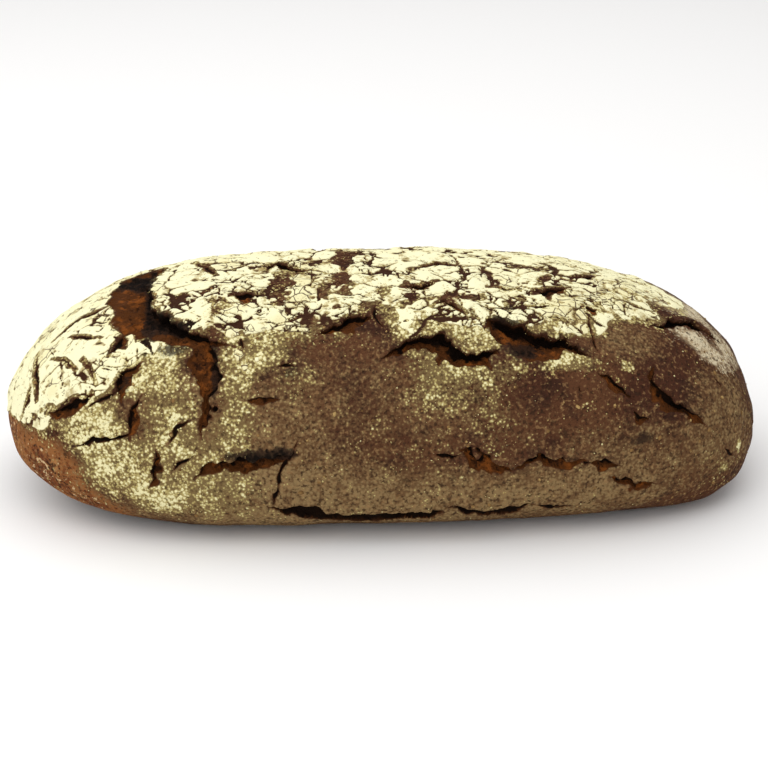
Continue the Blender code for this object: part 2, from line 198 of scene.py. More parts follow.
# Finer than the solid has it
FINE_WAVER = ((2.6, 1.4, 5), (1.4, 0.8, 6))  # size, width and seed of the edges' own raggedness
TEAR_RAGGED = 0.8            # share of it that a tear's edges have
CRACK_RAGGED = 0.3           # and a fine crack's
OVERHANG = 1.1               # how far a lip leans out over its floor, as a share of its height
LEAN_STARTS = (-4.0, 0)      # the lean grows over these millimetres behind the edge
LEAN_ENDS = (0.1, 0.9)       # and goes over these past it
TORN_EDGES = ((-0.3, 0.8), (-0.2, 1.0))      # from skin to torn crumb, at the lip and at the far side
BARE_EDGES = ((-1.5, -0.5), (-0.8, 0.2))     # from flour to none, a little outside those
SHADE_SHARE = 1.1            # share of a tear's width that gets painted shade, when it is as deep as wide,
SHADE_SPARED = 0.25          # less this share
SHADE_EDGE = (1.35, 0.45)    # where the painted shade ends and where it is full, as shares of that width
LEAST_DARK = 2.6             # millimetres of painted shade under any lip
MOST_DARK = 0.7              # tears whose painted shade share is larger are painted dark right across
DARK_WIDTH = 3.5             # and so are those narrower than this
DARK_ACROSS = 3.0            # the painted shade share that covers the far wall too
FLOOR_CRAGS = ((6.0, 1.5), (2.6, 1.1))       # size and height of the crags on a torn floor
SKIN_GRAIN = ((5.0, 0.20), (2.4, 0.14))      # size and height of the skin's own grain
FLOUR_LUMPS = ((7.0, 0.8), (3.2, 0.5))       # size and height of the clumps where flour lies in grains
PLATE_PILLOW = 0.5           # how far the crust stands up under the middle of a plate of flour
CRACK_DROP = 0.5             # and how far it drops in a crack

# Where flour lies caked: the lower edge at the front and at the back, as
# (millimetres along, degrees round)
FLOUR_FRONT = ((-180, 16), (-166, 20), (-156, 24), (-146, 25), (-136, 26), (-126, 33), (-116, 43),
               (-108, 47), (-103, 56), (-92, 58), (-80, 54), (-70, 47), (-60, 49), (-52, 55),
               (-40, 58), (-30, 54), (-8, 61), (0, 58), (8, 55), (32, 55), (46, 55), (60, 60),
               (86, 60), (92, 61), (100, 66), (112, 69), (124, 75), (136, 85), (146, 97), (152, 112))
FLOUR_BACK = ((-180, 160), (-140, 158), (-96, 148), (-60, 152), (-20, 138), (30, 146), (70, 136),
              (104, 116), (134, 103), (146, 98), (152, 88))
FLOUR_SOFT = 3.0             # degrees over which the caked flour thins out at its edge
FLOUR_MARGIN = 15.0          # degrees over which grains lie on past it
NEAR_GRAINS = 0.62           # how much of the crust they cover there
FLOUR_RAGGED = 17.0          # how far that edge wanders, in degrees

# Where the caked flour is broken up into small plates: middle place, reach along, reach round, how much
FLOUR_BROKEN = (
    ((-60, 66), 40, 22, 0.85),
    ((-20, 80), 50, 26, 1.0),
    ((40, 76), 50, 30, 0.85),
    ((100, 84), 40, 24, 0.75),
    ((-124, 46), 14, 12, 0.6),
    ((0, 130), 120, 30, 0.9),
)

# Flour that lies in grains, heavier and lighter: middle place, reach along, reach round, share covered
FLOUR_PATCHES = (
    ((-136, 20), 17, 13, 0.99),
    ((-124, 3), 18, 13, 0.85),
    ((-152, 6), 10, 12, 0.25),
    ((-112, 42), 16, 9, 0.95),
    ((-101, 50), 10, 6, 0.93),
    ((-100, 28), 14, 16, 0.56),
    ((-92, 6), 20, 17, 0.55),
    ((-107, -9), 12, 8, 0.86),
    ((-80, -6), 26, 9, 0.46),
    ((-70, 40), 8, 14, 0.50),
    ((-69, 18), 10, 14, 0.48),
    ((-58, 46), 12, 8, 0.46),
    ((-42, 34), 9, 7, 0.36),
    ((-40, 52), 18, 5, 0.36),
    ((22, 60), 20, 7, 0.92),
    ((42, 52), 10, 6, 0.85),
    ((72, 64), 24, 8, 0.90),
    ((30, 41), 14, 7, 0.62),
    ((26, 32), 15, 10, 0.40),
    ((48, 24), 9, 20, 0.34),
    ((20, 18), 24, 22, 0.16),
    ((82, 44), 12, 5, 0.90),
    ((60, 40), 14, 7, 0.34),
    ((108, 76), 22, 10, 0.66),
    ((110, 42), 3, 2, 0.70),
    ((100, 40), 20, 8, 0.24),
    ((76, 26), 30, 24, 0.12),
    ((-40, 0), 60, 26, 0.14),
    ((40, -12), 60, 20, 0.16),
    ((-20, 34), 50, 26, 0.12),
    ((120, 20), 44, 36, 0.08),
    ((158, -6), 14, 14, 0.30),
    ((167, 0), 3.2, 2.4, 1.0),
    ((159, -7), 3.2, 2.4, 1.0),
    ((-140, -12), 24, 12, 0.30),
    ((-110, 168), 34, 26, 0.72),
    ((-30, 166), 40, 22, 0.52),
    ((50, 164), 40, 24, 0.40),
    ((110, 150), 30, 28, 0.34),
    ((0, 186), 150, 26, 0.18),
    ((0, 270), 190, 90, 0.14),
)

# Bare brown places in the caked flour: middle place, reach along, reach round, how bare
FLOUR_GAPS = (
    ((-98, 74), 3, 3, 0.9),
    ((-93, 76), 4, 2, 0.7),
    ((-84, 76), 3, 4, 0.9),
    ((-74, 64), 4, 3, 0.6),
    ((-48, 82), 6, 5, 0.8),
    ((-50, 71), 5, 4, 0.6),
    ((-30, 74), 4, 3, 0.5),
    ((-18, 90), 4, 13, 0.95),
    ((-14, 98), 9, 3, 0.6),
    ((-36, 62), 5, 3, 0.5),
    ((-22, 66), 5, 4, 0.5),
    ((12, 72), 3, 7, 0.8),
    ((29, 68), 5, 4, 0.9),
    ((40, 72), 5, 3, 0.6),
    ((46, 84), 4, 2, 0.2),
    ((58, 70), 7, 2, 0.5),
    ((78, 84), 3, 2, 0.8),
    ((73, 75), 4, 2, 0.8),
    ((64, 90), 4, 2, 0.3),
    ((96, 84), 6, 4, 0.6),
    ((10, 120), 12, 6, 0.6),
    ((-70, 122), 10, 6, 0.6),
    ((60, 118), 9, 7, 0.6),
    ((-136, 112), 9, 6, 0.4),
)

# Thin films that only tint the crust: middle place, reach along, reach round, strength
OLIVE_FILM = (
    ((-30, -14), 76, 16, 0.90),
    ((-70, -4), 40, 16, 0.85),
    ((60, -14), 64, 14, 0.95),
    ((-60, 22), 40, 26, 0.45),
    ((-110, 10), 40, 40, 0.55),
    ((30, 34), 36, 24, 0.35),
    ((-10, 20), 60, 30, 0.30),
    ((110, 0), 50, 20, 0.55),
    ((160, 20), 22, 40, 0.65),
    ((110, 56), 24, 12, 0.55),
    ((-10, 168), 120, 24, 0.50),
)
PALE_DUST = (
    ((148, 66), 15, 8, 0.95),
    ((157, 60), 12, 10, 0.7),
    ((146, 92), 24, 12, 0.95),
    ((116, 92), 26, 12, 0.7),
    ((166, 76), 10, 12, 0.8),
    ((112, 70), 24, 8, 0.25),
    ((-172, 40), 8, 22, 0.5),
    ((138, 122), 30, 18, 0.6),
)
SCORCH = (
    ((-109, 86), 4.0, 30, 1.0),
    ((-116, 99), 16, 8, 1.0),
    ((-103, 66), 9, 5, 1.0),
    ((-92, 61), 14, 3, 0.9),
    ((-110, 52), 9, 4, 0.75),
    ((-95, 50), 8, 4, 0.75),
    ((-122, 78), 5, 8, 0.55),
    ((-120, 38), 6, 7, 0.62),
    ((-78, 40), 3, 16, 0.8),
    ((-60, 7.5), 20, 2.2, 1.0),
    ((-52, 9), 10, 2.5, 0.85),
    ((134, 24), 10, 8, 0.66),
    ((66, 48), 22, 6, 0.5),
    ((57, 62), 12, 6, 0.8),
    ((62, 46), 7, 4, 0.8),
    ((116, 10), 8, 4, 0.7),
    ((-44, 38), 8, 3, 0.6),
    ((70, 130), 16, 4, 0.7),
)
BARE_TIP = (
    ((-176, 0), 25, 42, 1.0),
    ((-160, -12), 31, 21, 1.0),
    ((-138, -28), 46, 14, 0.9),
    ((-174, 176), 22, 44, 0.42),
    ((-156, 198), 34, 20, 0.3),
)

# The caked flour
FLOUR_THICK = 0.6            # thickest it lies, in millimetres
FLOUR_BURIED = 0.35          # how deep its edge dips under the crust's skin
FLOUR_BASE = 1.0             # how deep its unseen underside lies
FLOUR_SLOPE = 3.0            # millimetres of thickness for each unit of cover
PLATE_SIZE = 11.0            # across one plate of cracked flour
PLATE_STRETCH = (1.5, 1.0, 1.0)   # plates are longer along the loaf
PLATE_BENDS = ((13.0, 9.0), (4.5, 3.0))   # over what length plate edges stray, and how far
SHARD_SIZE = 4.6             # across the small pieces inside a plate
CRACK_WIDTH = (0.02, 0.05, 0.10)   # half width in plate sizes: least, more where gaping, where broken
CRACK_CUT = 1.4              # how deep a crack cuts the flour
BARE_CUT = 8.0               # and how deep a tear does, which is right through
POWDER_HEIGHT = 0.20         # between the hollows and tops of its powdery skin
BEND_SEED = 51
PLATE_SEED = 61
SHARD_SEED = 71

# Random fields of the flour: size in millimetres, seed
FLOUR_NOISE = {
    "wandering edge": (16.0, 31),
    "how much lies": (9.0, 33),
    "ragged edge": (3.2, 37),
    "gaping": (15.0, 81),
    "shattered": (10.0, 82),
    "closed": (7.0, 83),
    "powder": (2.4, 91),
}

# The flour's pieces and the loose lumps
LEFT_PIECE_END = -100.0      # plates whose middle is left of this are the left end's
BACK_PIECE_START = 6.0       # and the others whose middle is behind this are the back's
THINNEST_FLOUR = 0.02        # thinner flour is left off
SHARP_ANGLE = 55.0           # degrees between faces past which a flour edge looks sharp
LUMP_SHAPES = ((0.65, 0.5, 0.6), (1.25, 1.0, 1.0))   # least and most of a lump's radii, before its size
LUMP_SKEW = 2.2              # most lumps are small, the more so the higher this is
LUMP_SIZE_SEED = 7
LUMP_TURN_SEED = 3
FULL_TURN = 6.283            # radians that a lump may be turned by

# Photograph's view
VIEW_TURN = -3.0             # degrees from straight in front, towards the left tip
VIEW_RISE = 24.0             # degrees above the table
VIEW_DISTANCE = 1.0
VIEW_CENTRE = Vector((0, 0, 0.05))
AIM = Vector((0.0017, -0.0016, 0.0463))
FRAME_WIDTH = 0.3738         # metres across the frame at the view's centre
SENSOR = 36.0


# The smooth form

def round_ends(along, powers):
    """1 in the middle and 0 at the tips, with each half's own fullness."""
    left, right = powers
    inner = np.where(along < 0, left[0], right[0])
    outer = np.where(along < 0, left[1], right[1])
    return np.clip(1 - np.abs(along) ** inner, 0, 1) ** (1 / outer)


def section_sizes(along):
    """Half width, top, widest line and underside of the cross-section at a share of the half length."""
    tip = TIP_HEIGHT[0] + (TIP_HEIGHT[1] - TIP_HEIGHT[0]) * (along + 1) / 2
    half = WIDTH / 2 * round_ends(along, PLAN_ROUND)
    top = tip + (HEIGHT - tip) * round_ends(along, CROWN_ROUND)
    start = np.where(along < 0, LIFT_START[0], LIFT_START[1])
    beyond = np.clip((np.abs(along) - start) / (1 - start), 0, 1)
    under = tip * (1 - np.sqrt(1 - beyond ** 2))
    belly = tip + (BELLY_HEIGHT - tip) * round_ends(along, ((2.5, 1.5), (2.5, 1.5)))
    return half, top, np.clip(belly, under, top), under


def smooth_place(x, degrees):
    """The place on the smooth form at x along the loaf and a girth angle."""
    half, top, belly, under = section_sizes(np.clip(x / (LENGTH / 2), -1, 1))
    across, up = np.cos(np.radians(degrees)), np.sin(np.radians(degrees))
    power = np.where(up >= 0, DOME_POWER, UNDER_POWER)
    y = -half * np.sign(across) * np.abs(across) ** (2 / power)
    rise = np.abs(up) ** (2 / power)
    z = np.where(up >= 0, belly + (top - belly) * rise, belly - (belly - under + BASE_ROUNDING) * rise)
    return np.stack([x + 0 * y, y, np.maximum(z, under)], axis=-1)


def smooth_grid():
    """Rings of places at each station between the tips, then the two tips, and each place's girth angle."""
    turn = np.linspace(-np.pi / 2, np.pi / 2, STATIONS + 2)[1:-1]
    fine = np.linspace(0, 360, 1441)
    rings, girths = [], []
    for x in LENGTH / 2 * np.sin(turn) * (1 - EVENING * np.cos(turn) ** 2):
        ring = smooth_place(np.full_like(fine, x), fine)
        step = np.linalg.norm(np.diff(ring, axis=0), axis=1)
        step = step * np.where(ring[1:, 2] < ring[:, 2].min() + 0.01, UNDERSIDE_SHARE, 1.0)
        run = np.concatenate([[0], np.cumsum(step)])
        even = np.interp(np.arange(RING) / RING * run[-1], run, fine)
        rings.append(smooth_place(np.full_like(even, x), even))
        girths.append(even)
    tips = [(-LENGTH / 2, 0, TIP_HEIGHT[0]), (LENGTH / 2, 0, TIP_HEIGHT[1])]
    return np.concatenate([np.concatenate(rings), tips]), np.concatenate([np.concatenate(girths), [0, 0]])


def outward_normals(places):
    rings = places[:-2].reshape(STATIONS, RING, 3)
    along = np.gradient(rings, axis=0)
    around = np.roll(rings, -1, axis=1) - np.roll(rings, 1, axis=1)
    normal = np.cross(along, around).reshape(-1, 3)
    normal = np.concatenate([normal, [(-1, 0, 0), (1, 0, 0)]])
    return normal / np.linalg.norm(normal, axis=1, keepdims=True)


def grid_quads():
    """The grid's quads between neighbouring rings, as rows of four corners, all facing outward."""
    station = np.arange(STATIONS - 1)[:, None] * RING
    ring = np.arange(RING)[None, :]
    onward = (ring + 1) % RING
    corners = [station + ring, station + RING + ring, station + RING + onward, station + onward]
    return np.stack([corner.ravel() for corner in corners], axis=1)


def tip_fans():
    ring = np.arange(RING)
    onward = (ring + 1) % RING
    last = (STATIONS - 1) * RING
    left = np.stack([np.full(RING, STATIONS * RING), ring, onward], axis=1)
    right = np.stack([np.full(RING, STATIONS * RING + 1), last + onward, last + ring], axis=1)
    return np.concatenate([left, right])


# Random fields in three dimensions

def smoothstep(low, high, value):
    share = np.clip((value - low) / (high - low), 0, 1)
    return share * share * (3 - 2 * share)


def waves(places, sizes, rng):
    """A gentle random field, from waves of each length and height in seeded directions."""
    total = np.zeros(len(places))
    for length, height in sizes:
        for _ in range(WAVES):
            direction = rng.normal(size=3)
            direction *= 2 * np.pi / length / np.linalg.norm(direction)
            total += height * np.sin(places @ direction + rng.uniform(0, 2 * np.pi)) / np.sqrt(WAVES / 2)
    return total


HASH_PRIMES = (73856093, 19349663, 83492791, 2654435761)    # for a cell's x, y and z, and the seed
HASH_ROUNDS = ((15, 2246822519), (13, 3266489917))          # shift and multiplier of each round of mixing
HASH_LAST_SHIFT = 16
HASH_MOST = 0xFFFFFFFF


def hashed(cell, seed):
    """A random share for each whole-numbered cell, always the same for the same cell and seed."""
    mixed = seed * HASH_PRIMES[3]
    for axis in range(3):
        mixed = mixed ^ cell[..., axis] * HASH_PRIMES[axis]
    mixed = mixed & HASH_MOST
    for shift, multiplier in HASH_ROUNDS:
        mixed = ((mixed ^ (mixed >> shift)) * multiplier) & HASH_MOST
    return (mixed ^ (mixed >> HASH_LAST_SHIFT)) / float(HASH_MOST)


def turned(places, seed):
    """The places turned in space, differently for each seed, so that no pattern lines up with the loaf."""
    turn, _ = np.linalg.qr(np.random.default_rng(seed).normal(size=(3, 3)))
    return places @ turn


def grain(places, size, seed):
    """Smooth noise from 0 to 1 with grains of that size."""
    scaled = turned(places, seed) / size
    cell = np.floor(scaled).astype(np.int64)
    share = scaled - cell
    share = share * share * (3 - 2 * share)
    total = np.zeros(len(places))
    for corner in np.ndindex(2, 2, 2):
        weight = np.prod(np.where(corner, share, 1 - share), axis=1)
        total += weight * hashed(cell + np.array(corner), seed)
    return total


def ragged_grain(places, size, seed):
    """Noise of three sizes, the largest given, spread evenly from 0 to 1."""
    total = sum(grain(places, size / 2 ** k, seed + k) * 0.62 ** k for k in range(3))
    spread = (total - total.mean()) / total.std()
    return 1 / (1 + np.exp(-1.7 * spread))


def plates(places, size, stretch, seed):
    """Distance to the nearest crack between plates, a random share for each plate, and its middle."""
    scaled = places / (size * np.array(stretch))
    cell = np.floor(scaled).astype(np.int64)
    nearest = np.full(len(places), 9.0)
    second = np.full(len(places), 9.0)
    own = np.zeros(len(places))
    middle = np.zeros((len(places), 3))
    for step in np.ndindex(3, 3, 3):
        there = cell + np.array(step) - 1
        heart = there + 0.1 + 0.8 * np.stack([hashed(there, seed + k) for k in range(3)], axis=1)
        away = np.linalg.norm(scaled - heart, axis=1)
        closer = away < nearest
        second = np.where(closer, nearest, np.minimum(second, away))
        own = np.where(closer, hashed(there, seed + 3), own)
        middle[closer] = heart[closer]
        nearest = np.where(closer, away, nearest)
    return second - nearest, own, middle * (size * np.array(stretch))


def reaches_squared(places, x, degrees, reach_along, reach_round):
    """How far each place is from a patch's middle, counted in the patch's reaches and squared."""
    middle = smooth_place(np.array(float(x)), np.array(float(degrees)))
    edge = smooth_place(np.array(float(x)), np.array(float(degrees + reach_round)))
    from_middle = places - middle
    along = from_middle[:, 0] / reach_along
    around = np.linalg.norm(from_middle[:, 1:], axis=1) / np.linalg.norm(edge - middle)
    return along ** 2 + around ** 2


def patches(places, rows, outer=1.7, inner=0.3):
    """Patches over one another, each full inside its inner reach and gone past its outer one."""
    open_share = np.ones(len(places))
    for (x, degrees), reach_along, reach_round, strength in rows:
        squared = reaches_squared(places, x, degrees, reach_along, reach_round)
        open_share *= 1 - strength * smoothstep(outer, inner, np.sqrt(squared))
    return 1 - open_share


def swells(places):
    total = np.zeros(len(places))
    for (x, degrees), reach_along, reach_round, height in SWELLS:
        total += height * np.exp(-reaches_squared(places, x, degrees, reach_along, reach_round))
    return total


# The tears

def rounded_corners(corners):
    """The tear's places with its corners cut twice, so that it bends smoothly."""
    for _ in range(2):
        near = 0.75 * corners[:-1] + 0.25 * corners[1:]
        far = 0.25 * corners[:-1] + 0.75 * corners[1:]
        between = np.stack([near, far], axis=1).reshape(-1, 2)
        corners = np.concatenate([corners[:1], between, corners[-1:]])
    return corners


def tear_path(corners):
    """Closely spaced places along a tear's lip, the run to each, and the way its floor lies."""
    corners = rounded_corners(np.array(corners, float))
    rough = smooth_place(corners[:, 0], corners[:, 1])
    run = np.concatenate([[0], np.cumsum(np.linalg.norm(np.diff(rough, axis=0), axis=1))])
    even = np.linspace(0, run[-1], max(8, int(run[-1] / PATH_STEP)))
    x, degrees = np.interp(even, run, corners[:, 0]), np.interp(even, run, corners[:, 1])
    path = smooth_place(x, degrees)
    ahead = np.gradient(path, axis=0)
    around = smooth_place(x, degrees + 0.5) - smooth_place(x, degrees - 0.5)
    along = smooth_place(x + 0.5, degrees) - smooth_place(x - 0.5, degrees)
    floor_way = np.cross(ahead, np.cross(along, around))
    return path, even, floor_way / np.linalg.norm(floor_way, axis=1, keepdims=True)


def nearest_on_path(places, path):
    """For each place, which step of the path is nearest and how far off it is."""
    closest = np.zeros(len(places), int)
    distance = np.full(len(places), np.inf)
    for step, place in enumerate(path):
        away = np.linalg.norm(places - place, axis=1)
        nearer = away < distance
        closest[nearer] = step
        distance[nearer] = away[nearer]
    return closest, distance


def painted_shade_share(depth, widest):
    """The share of a tear's width that is painted dark as shade, from its lip on."""
    share = max(SHADE_SHARE * depth / widest - SHADE_SPARED, LEAST_DARK / widest)
    return DARK_ACROSS if share > MOST_DARK or widest < DARK_WIDTH else share


def cut_tear(crust, tear, ragged):
    """Adds one tear to the crust's fields: how deep it cuts, its lip, its lean, its torn floor and the shade
    painted under its lip.
    """
    corners, widths, depth, lip = tear
    places = crust["smooth"]
    path, run, floor_way = tear_path(corners)
    reach = max(widths) + 2 * LIP_REACH
    near = np.all((places > path.min(axis=0) - reach) & (places < path.max(axis=0) + reach), axis=1)
    index = np.flatnonzero(near)
    closest, distance = nearest_on_path(places[index], path)
    share = run[closest] / run[-1]
    narrowed = END_NARROWING[0] * np.abs(2 * share - 1) ** END_NARROWING[1]
    width = np.interp(share, (0, 0.5, 1), widths) * (1 - narrowed)
    calm = np.clip(width / CALM_WIDTH, LEAST_WAVER, 1)
    way = floor_way[closest]
    side = np.sum((places[index] - path[closest]) * way, axis=1)
    beyond = np.sqrt(np.maximum(distance ** 2 - side ** 2, 0))
    side = side + crust["lip waver"][index] * calm + crust["fine waver"][index] * ragged
    to_far = width - side + crust["far waver"][index] * calm + crust["fine waver"][index] * ragged
    strength = (width / max(widths)) ** 0.6 * np.clip(1 - beyond / END_FADE, 0, 1)
    wall = smoothstep(0, min(WALL_RUN, depth * WALL_SHARE), side)
    far = smoothstep(0, np.minimum(FAR_RUN, width * WALL_SHARE), to_far)
    floor = depth * strength * wall * far * (1 - FLOOR_RISE * np.clip(side / width, 0, 1))
    lip_rise = np.where(side < 0, np.exp(np.minimum(side, 0) / LIP_REACH), 0)
    far_rise = np.where(to_far < 0, FAR_LIP * np.exp(np.minimum(to_far, 0) / LIP_REACH * 2), 0)
    relief = lip * strength * (lip_rise + far_rise) - floor
    crust["cut"][index] = np.minimum(crust["cut"][index], relief)
    crust["lifted"][index] = np.maximum(crust["lifted"][index], relief)
    reached = strength ** 0.4
    inside = reached * smoothstep(*TORN_EDGES[0], side) * smoothstep(*TORN_EDGES[1], to_far)
    bare = reached * smoothstep(*BARE_EDGES[0], side) * smoothstep(*BARE_EDGES[1], to_far)
    # Shade painted near black under the lip, over a share of the width; deep or narrow tears get it right
    # across
    painted_shade_width = width * painted_shade_share(depth, max(widths))
    painted_shade_under_lip = smoothstep(*SHADE_EDGE, side / painted_shade_width + 0.5 * crust["fine waver"][index])
    for field, least in (("torn", inside), ("bare", bare), ("shaded", inside * painted_shade_under_lip)):
        crust[field][index] = np.maximum(crust[field][index], least)
    lean = OVERHANG * lip * strength * smoothstep(*LEAN_STARTS, side) * (1 - smoothstep(*LEAN_ENDS, side))
    crust["lean"][index] += way * lean[:, None]


# The crust's fields at every place of the grid

def crust_fields():
    """All that is worked out for the crust: places, reliefs and the shares of each finish."""
    smooth, girth = smooth_grid()
    count = len(smooth)
    rng = np.random.default_rng(SEED)
    crust = {"smooth": smooth, "girth": girth, "normal": outward_normals(smooth)}
    broad = waves(smooth, LUMPS, rng) + swells(smooth)
    crust["lip waver"] = waves(smooth, EDGE_WAVER, rng)
    crust["far waver"] = waves(smooth, EDGE_WAVER, rng)
    crust["fine waver"] = sum((grain(smooth, size, seed) - 0.5) * across for size, across, seed in FINE_WAVER)
    for name in ("cut", "lifted", "torn", "bare", "shaded"):
        crust[name] = np.zeros(count)
    crust["lean"] = np.zeros((count, 3))
    for tear in TEARS:
        cut_tear(crust, tear, TEAR_RAGGED)
    for tear in FINE_CRACKS:
        cut_tear(crust, tear, CRACK_RAGGED)
    add_flour_fields(crust)
    height = broad + crust["cut"] + np.where(crust["cut"] < 0, 0, crust["lifted"])
    for seed, (rows, share) in enumerate(((FLOOR_CRAGS, crust["torn"]), (SKIN_GRAIN, 1.0),
                                          (FLOUR_LUMPS, crust["floured"]))):
        for size, rise in rows:
            height += rise * (grain(smooth, size, int(size * 10) + seed) - 0.5) * share
    height += PLATE_PILLOW * crust["pillow"] * (1 - crust["torn"]) - CRACK_DROP * crust["crack"]
    fade = smoothstep(*BASE_FADE, smooth[:, 2])
    normal, lean = crust["normal"], crust["lean"] * fade[:, None]
    crust["surface"] = smooth + normal * (height * fade)[:, None] + lean
    buried = np.minimum(broad - FLOUR_BASE, height - FLOUR_BASE / 2) * fade
    crust["underside"] = smooth + normal * buried[:, None] + lean
    add_finish_fields(crust)
    middle = (crust["surface"].min(axis=0) + crust["surface"].max(axis=0)) / 2
    crust["surface"][:, :2] -= middle[:2]
    crust["underside"][:, :2] -= middle[:2]
    return crust


def add_flour_fields(crust):
    """How thick the caked flour lies and its cracks, and how much of the crust loose flour covers."""
    smooth, girth, x = crust["smooth"], crust["girth"], crust["smooth"][:, 0]
    # Where flour is caked: between the two edges, which wander, and not in the gaps
    wander = (ragged_grain(smooth, *FLOUR_NOISE["wandering edge"]) - 0.5) * FLOUR_RAGGED
    past_front = girth - np.interp(x, *zip(*FLOUR_FRONT)) + wander
    past_back = np.interp(x, *zip(*FLOUR_BACK)) - girth + wander
    inside, near = (smoothstep(start, FLOUR_SOFT, past_front) * smoothstep(start, FLOUR_SOFT, past_back)
                    for start in (-FLOUR_SOFT, -FLOUR_MARGIN))
    gaps, broken = patches(smooth, FLOUR_GAPS, 2.0, 0.1), patches(smooth, FLOUR_BROKEN)
    caked = inside * (1 - gaps)
    # How much lies there, above 0, with its thin places eaten away
    lying = ragged_grain(smooth, *FLOUR_NOISE["how much lies"]) - (1 - caked * (1.08 - 0.10 * broken))
    eaten = 0.42 - ragged_grain(smooth, *FLOUR_NOISE["ragged edge"])
    lying += 0.26 * eaten * (1 - smoothstep(0.1, 0.4, lying)) * caked
    # Its plates, the shards inside them, and the cracks: few and thin where it isn't broken up
    bent = smooth + sum(np.stack([grain(smooth, size, BEND_SEED + axis) - 0.5 for axis in range(3)], axis=1)
                        * stray for size, stray in PLATE_BENDS)
    edge, own, middle = plates(bent, PLATE_SIZE, PLATE_STRETCH, PLATE_SEED)
    shard_edge, shard_own, _ = plates(bent, SHARD_SIZE, PLATE_STRETCH, SHARD_SEED)
    gape = smoothstep(0.40, 0.80, grain(smooth, *FLOUR_NOISE["gaping"]))
    closed = smoothstep(0.42, 0.56, grain(smooth, *FLOUR_NOISE["closed"]))
    shattered = smoothstep(0.58, 0.74, grain(smooth, *FLOUR_NOISE["shattered"]) + 0.16 * broken)
    least, gaping, gaping_broken = CRACK_WIDTH
    half_width = least + gaping * gape + gaping_broken * gape * broken
    wide = smoothstep(half_width, 0.4 * half_width, edge + crust["fine waver"] * 0.06)
    wide *= np.clip(1.0 - 1.2 * closed * (1 - 0.6 * broken) - 0.35 * (1 - broken), 0, 1)
    fine = smoothstep(0.12, 0.03, shard_edge + crust["fine waver"] * 0.06) * shattered
    fine *= 0.15 + 0.85 * broken
    crack = np.maximum(wide, 0.9 * fine) * inside
    # Its thickness, most in the middle of a plate
    pillow = smoothstep(0, 0.5, edge) * inside * (0.4 + 0.6 * broken)
    most = FLOUR_THICK * (0.45 + 0.35 * own + 0.2 * shard_own) * (0.6 + 0.4 * pillow)
    thick = np.minimum(lying * FLOUR_SLOPE, most)
    thick += (grain(smooth, *FLOUR_NOISE["powder"]) - 0.5) * POWDER_HEIGHT * (lying > 0)
    thick -= crack * CRACK_CUT + crust["bare"] * BARE_CUT
    # And how much of the crust shows loose flour in grains
    grainy = 1 - (1 - patches(smooth, FLOUR_PATCHES)) * (1 - NEAR_GRAINS * near)
    crust["plate middle"] = middle
    crust["crack"] = crack
    crust["pillow"] = pillow
    crust["broken"] = broken
    untorn = 1 - np.clip(2 * crust["torn"], 0, 1)
    crust["floured"] = grainy * untorn * (1 - 0.75 * crack) * (1 - 0.6 * gaps * inside)
    crust["flour"] = np.clip(thick, -FLOUR_BURIED, FLOUR_THICK)


def add_finish_fields(crust):
    """The shares of each finish that the crust's material reads, and where loose grains lie."""
    smooth = crust["smooth"]
    untorn = 1 - np.clip(1.5 * crust["torn"], 0, 1)
    crust["film"] = patches(smooth, OLIVE_FILM) * untorn
    crust["pale dust"] = patches(smooth, PALE_DUST) * untorn
    crust["scorched"] = patches(smooth, SCORCH)
    crust["bare tip"] = patches(smooth, BARE_TIP)
    above = smoothstep(4.0, 12.0, smooth[:, 2])
    unburnt = 1 - 0.8 * crust["scorched"]
    crust["loose flour"] = (0.008 + 0.99 * crust["floured"] ** 2.5) * untorn * unburnt * above
    crust["loose bran"] = (1 - 0.8 * crust["floured"]) * untorn * above


# Meshes from the fields

METRES = 0.001               # in a millimetre


def placed(name, data):
    """A new object in the scene that holds those data."""
    made = bpy.data.objects.new(name, data)
    bpy.context.scene.collection.objects.link(made)
    return made


def mesh_of(name, places, faces):
    """A mesh in metres from places in millimetres and rows of three or four corners."""
    mesh = bpy.data.meshes.new(name)
    loops = np.concatenate([rows.ravel() for rows in faces])
    sizes = np.concatenate([np.full(len(rows), rows.shape[1]) for rows in faces])
    starts = np.concatenate([[0], np.cumsum(sizes)[:-1]])
    mesh.vertices.add(len(places))
    mesh.vertices.foreach_set("co", (places * METRES).ravel())
    mesh.loops.add(len(loops))
    mesh.loops.foreach_set("vertex_index", loops.astype(np.int32))
    mesh.polygons.add(len(sizes))
    mesh.polygons.foreach_set("loop_start", starts.astype(np.int32))
    mesh.update(calc_edges=True)
    mesh.validate()
    return mesh


def modified(mesh, kind, settings, inputs=None):
    """The mesh that a modifier with those settings and inputs makes of it."""
    holder = placed("working", mesh)
    modifier = holder.modifiers.new("working", kind)
    for key, value in settings.items():
        setattr(modifier, key, value)
    for key, value in (inputs or {}).items():
        modifier[key] = value
    graph = bpy.context.evaluated_depsgraph_get()
    result = bpy.data.meshes.new_from_object(holder.evaluated_get(graph))
    bpy.data.objects.remove(holder, do_unlink=True)
    return result


def thinned(mesh, triangles):
    """The mesh with about that many triangles, kept where it bends most."""
    now = sum(len(face.vertices) - 2 for face in mesh.polygons)
    result = modified(mesh, 'DECIMATE', {"decimate_type": 'COLLAPSE', "use_collapse_triangulate": True,
                                         "ratio": min(1.0, triangles / now)})
    bpy.data.meshes.remove(mesh)
    return result


def give_attributes(mesh, crust, tree, names):
    """Each vertex takes its shares from the nearest place of the full grid."""
    nearest = [tree.find(vertex.co)[1] for vertex in mesh.vertices]
    for name in names:
        made = mesh.attributes.new(name, 'FLOAT', 'POINT')
        made.data.foreach_set("value", crust[name][nearest].astype(np.float32))


def place_tree(places):
    tree = KDTree(len(places))
    for index, place in enumerate(places * METRES):
        tree.insert(place, index)
    tree.balance()
    return tree


